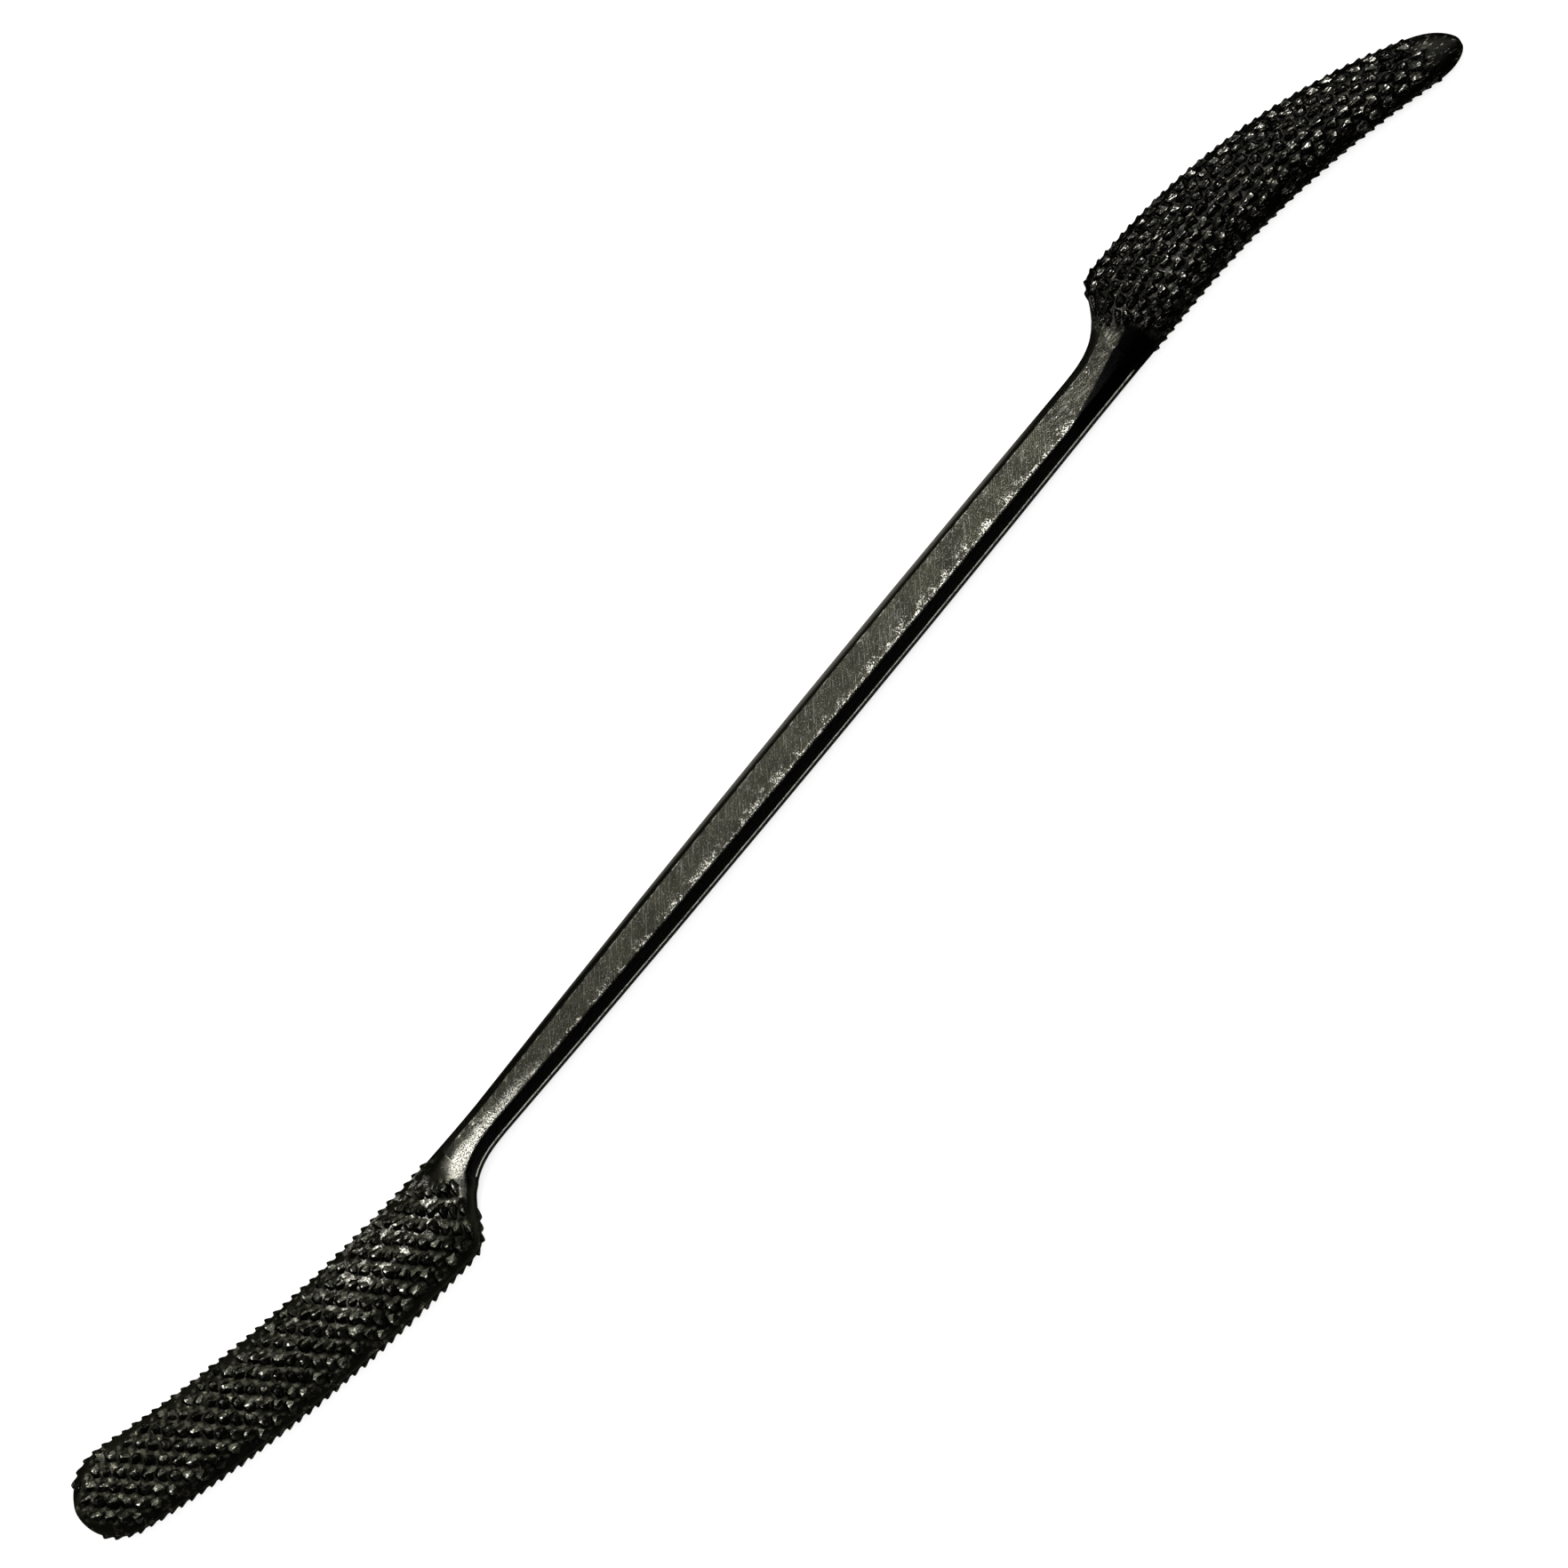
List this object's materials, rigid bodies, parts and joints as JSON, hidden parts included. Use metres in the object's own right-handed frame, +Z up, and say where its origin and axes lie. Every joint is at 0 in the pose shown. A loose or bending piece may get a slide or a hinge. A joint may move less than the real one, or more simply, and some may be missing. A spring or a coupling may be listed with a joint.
{
  "type": "riffler rasp",
  "caption": "Double-ended riffler rasp forged from one steel bar: a curved rounded head and a curved pointed head, toothed all round, on a bevelled middle grip.",
  "frame": {"origin": "half way between the two tips along the shank, on the flat underside of the shank that the tool lies on", "axes": "+X along the shank towards the pointed head, +Y in the plane that the heads bend in, +Z up out of the face of the shank"},
  "size_m": [0.1973, 0.0185, 0.0046],
  "materials": {
    "ground_shank": "blackened steel, ground along the flats",
    "forged_neck": "blackened steel, draw-filed",
    "blade": "blackened steel, left from hardening",
    "teeth": "blackened steel with bright worn points"
  },
  "bodies": {
    "root": {"shank": "ground_shank", "round_neck": "forged_neck", "round_blade": "blade", "round_face_teeth": "teeth", "round_back_teeth": "teeth", "round_belly_teeth": "teeth", "round_hollow_teeth": "teeth", "point_neck": "forged_neck", "point_blade": "blade", "point_face_teeth": "teeth", "point_back_teeth": "teeth", "point_belly_teeth": "teeth", "point_hollow_teeth": "teeth"}
  },
  "joints": []
}
